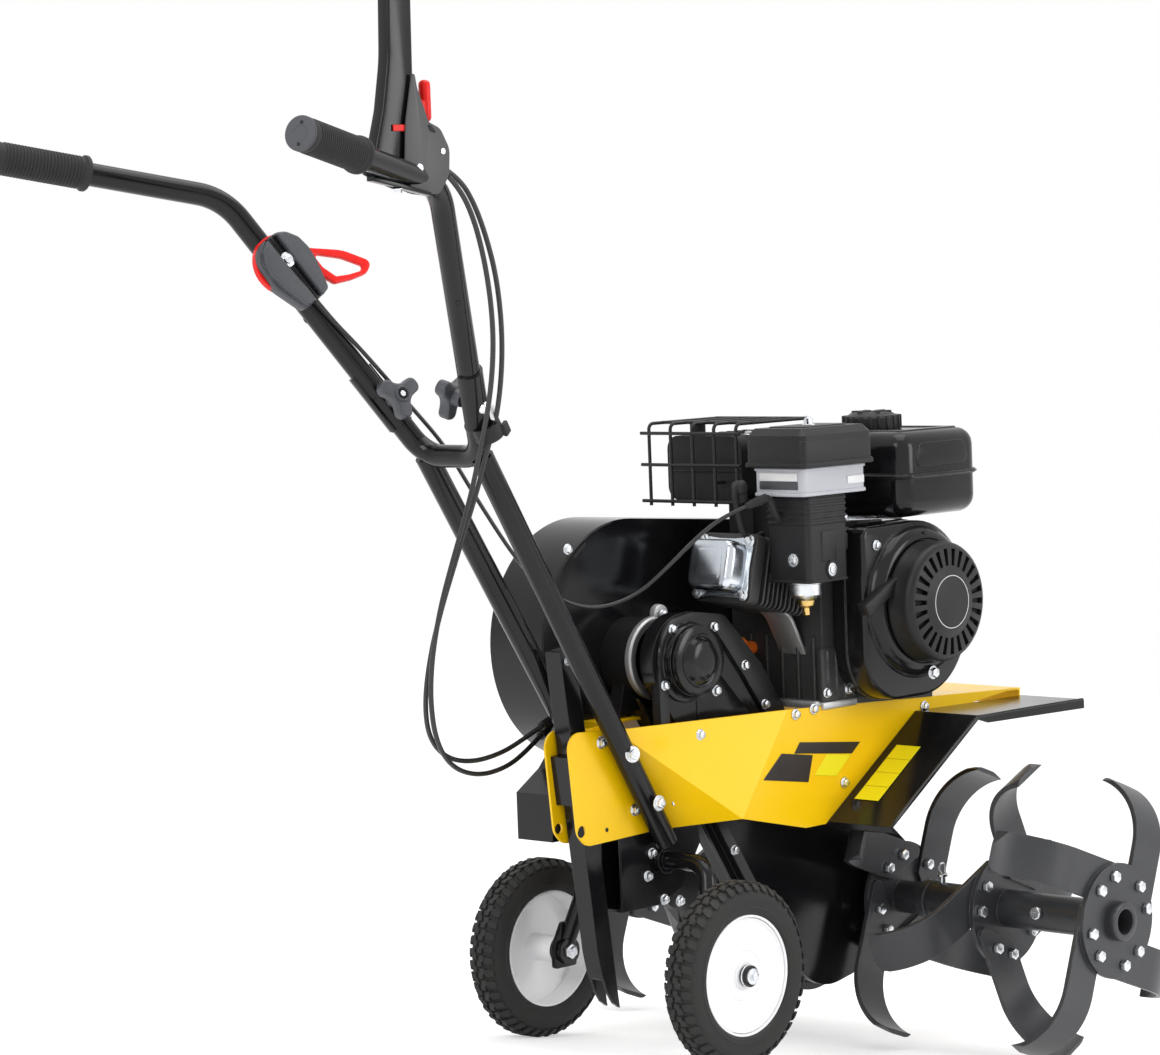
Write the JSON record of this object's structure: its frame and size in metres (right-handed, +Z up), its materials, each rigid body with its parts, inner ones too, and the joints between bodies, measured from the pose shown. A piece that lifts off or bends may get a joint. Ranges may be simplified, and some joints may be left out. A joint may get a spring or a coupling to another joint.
{
  "type": "garden tiller",
  "caption": "Walk-behind petrol tiller: pressed yellow frame, small engine with belt guard and chain case, sabre tines in front, transport wheels, depth bar and two-armed handle.",
  "frame": {"origin": "on the floor, under the middle of the machine's overall box", "axes": "+X forwards, towards the tines; +Y to the operator's left; +Z up"},
  "size_m": [1.4938, 0.834, 1.2249],
  "materials": {
    "yellow_paint": "glossy",
    "black_paint": "glossy",
    "tine_paint": "satin",
    "white_paint": "satin",
    "black_plastic": "matt, fine grain",
    "grey_plastic": "satin, slightly milky",
    "orange_plastic": "glossy",
    "rubber_grip": "matt",
    "cable_jacket": "satin",
    "tyre": "matt",
    "cast_alloy": "cast, matt",
    "bright_steel": "bright zinc"
  },
  "bodies": {
    "machine": {"frame_panel_right": "yellow_paint", "frame_panel_left": "yellow_paint", "engine_bed": "yellow_paint", "tine_guard_right": "black_paint", "tine_guard_left": "black_paint", "carriage_bracket": "black_paint", "chain_case": "black_paint", "bearing_bracket": "cast_alloy", "belt_guard": "black_paint", "crankcase": "cast_alloy", "cylinder_head": "cast_alloy", "valve_cover": "bright_steel", "fan_shroud": "black_paint", "recoil_starter": "black_plastic", "fuel_tank": "black_paint", "fuel_cap": "black_plastic", "air_cleaner_case": "grey_plastic", "air_cleaner_cover": "black_plastic", "carburettor": "black_plastic", "muffler": "black_paint", "muffler_guard": "black_paint", "oil_plug": "orange_plastic", "handle_tube_right": "black_paint", "handle_tube_left": "black_paint", "handle_yoke": "black_paint", "handlebar_right": "black_paint", "handlebar_left": "black_paint", "grip_right": "rubber_grip", "grip_left": "rubber_grip", "knob_right": "black_plastic", "knob_left": "black_plastic", "lever_bracket": "black_plastic", "clutch_lever": "black_paint", "throttle_control": "black_plastic", "depth_bar_guide": "black_paint", "clutch_cable": "cable_jacket", "reverse_cable": "cable_jacket", "throttle_cable": "cable_jacket", "carriage_latch": "bright_steel"},
    "wheel_carriage": {"carriage_frame": "black_paint"},
    "wheel_right": {"tyre_right": "tyre", "wheel_disc_right": "white_paint"},
    "wheel_left": {"tyre_left": "tyre", "wheel_disc_left": "white_paint"},
    "tine_rotor": {"tine_shaft": "bright_steel", "tines_inner_right": "tine_paint", "tines_inner_left": "tine_paint", "tines_outer_right": "tine_paint", "tines_outer_left": "tine_paint"},
    "depth_bar": {"depth_bar": "black_paint"}
  },
  "joints": [
    {"name": "carriage_fold", "type": "hinge", "parent": "machine", "child": "wheel_carriage", "pos_m": [0.1328, 0, 0.23815], "axis": [0, 1, 0], "range_deg": [0, 75]},
    {"name": "wheel_spin_right", "type": "hinge", "parent": "wheel_carriage", "child": "wheel_right", "pos_m": [0.113, -0.165, 0.1125], "axis": [0, 1, 0], "continuous": true},
    {"name": "wheel_spin_left", "type": "hinge", "parent": "wheel_carriage", "child": "wheel_left", "pos_m": [0.113, 0.165, 0.1125], "axis": [0, 1, 0], "continuous": true},
    {"name": "tine_spin", "type": "hinge", "parent": "machine", "child": "tine_rotor", "pos_m": [0.54922, 0, 0.19], "axis": [0, 1, 0], "continuous": true},
    {"name": "depth_bar_slide", "type": "slide", "parent": "machine", "child": "depth_bar", "axis": [-0.2504, 0, 0.9681], "range_m": [-0.043, 0.1]}
  ]
}
